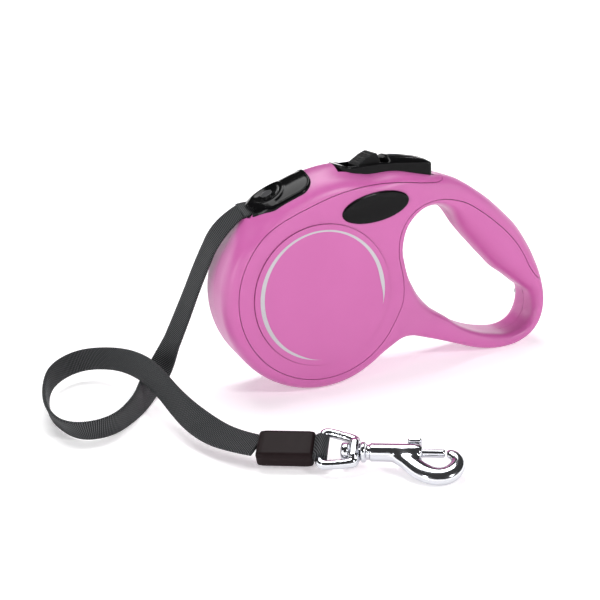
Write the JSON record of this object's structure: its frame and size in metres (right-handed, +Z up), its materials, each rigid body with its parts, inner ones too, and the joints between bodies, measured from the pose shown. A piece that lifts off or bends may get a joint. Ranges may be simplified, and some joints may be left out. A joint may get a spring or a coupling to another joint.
{
  "type": "retractable leash",
  "caption": "Retractable tape leash with a round casing, a hand loop, a thumb brake with lock, and a webbing lead ending in a swivel snap hook.",
  "frame": {"origin": "centre of the casing's bounding box, at its bottom, where the casing stands on a surface", "axes": "+X from the nose to the hand loop, +Y through the thickness towards the rear side, +Z up"},
  "size_m": [0.2094, 0.1446, 0.0878],
  "materials": {
    "pink_shell": "satin moulded",
    "black_gloss": "gloss",
    "silver_trim": "hot foil, satin",
    "white_acetal": "natural acetal",
    "steel": "zinc plated",
    "spring_steel": "oiled spring steel",
    "webbing": "woven nylon tape",
    "sleeve_brown": "smooth moulded sleeve",
    "chrome": "polished chrome"
  },
  "bodies": {
    "casing": {"front_casing": "pink_shell", "rear_casing": "pink_shell", "front_cover": "pink_shell", "rear_cover": "pink_shell", "front_disc": "pink_shell", "rear_disc": "pink_shell", "front_trim": "silver_trim", "rear_trim": "silver_trim", "front_badge": "black_gloss", "rear_badge": "black_gloss", "nose_guard": "black_gloss", "guard_rivet": "black_gloss", "button_pin": "steel", "pawl_pin": "steel", "axle": "steel", "spring_cup": "white_acetal", "spring_lid": "white_acetal", "power_spring": "spring_steel", "button_spring": "spring_steel", "casing_screws": "steel", "inner_tape_run": "webbing", "leash_strap": "webbing", "strap_end_loop": "webbing", "strap_sleeve": "sleeve_brown"},
    "spool": {"spool": "white_acetal", "ratchet_flange": "white_acetal", "wound_tape": "webbing", "spring_arbor": "white_acetal"},
    "button": {"brake_button": "black_gloss"},
    "lock": {"lock_slider": "black_gloss"},
    "pawl": {"brake_pawl": "white_acetal"},
    "eye": {"swivel_eye": "chrome"},
    "hook": {"hook_body": "chrome", "bolt_spring": "spring_steel"},
    "bolt": {"trigger_bolt": "chrome"}
  },
  "joints": [
    {"name": "spool_spin", "type": "hinge", "parent": "casing", "child": "spool", "pos_m": [-0.0325, 0, 0.0385], "axis": [0, 1, 0], "continuous": true},
    {"name": "brake_press", "type": "hinge", "parent": "casing", "child": "button", "pos_m": [-0.018, 0, 0.0797], "axis": [0, 1, 0], "range_deg": [0, 3.8], "stiffness_Nm_per_rad": 3, "springref_deg": -1.72, "deforming": ["button_spring"]},
    {"name": "lock_slide", "type": "slide", "parent": "button", "child": "lock", "axis": [1, 0, 0], "range_m": [0, 0.0028]},
    {"name": "pawl_swing", "type": "hinge", "parent": "casing", "child": "pawl", "pos_m": [0.0085, 0, 0.0697], "axis": [0, 1, 0], "range_deg": [-4, 0]},
    {"name": "eye_swing", "type": "hinge", "parent": "casing", "child": "eye", "pos_m": [-0.05896, -0.07147, 0.0066], "axis": [0.4636, 0.803, 0.3746], "range_deg": [-40, 40]},
    {"name": "hook_swivel", "type": "hinge", "parent": "eye", "child": "hook", "pos_m": [-0.04959, -0.07763, 0.00633], "axis": [0.866, -0.5, 0], "continuous": true},
    {"name": "bolt_slide", "type": "slide", "parent": "hook", "child": "bolt", "axis": [-0.866, 0.5, 0], "range_m": [0, 0.005], "stiffness_N_per_m": 400, "springref_m": -0.003, "deforming": ["bolt_spring"]}
  ],
  "couplings": [
    {"joint": "pawl_swing", "follows": "brake_press", "ratio": -1.05}
  ]
}
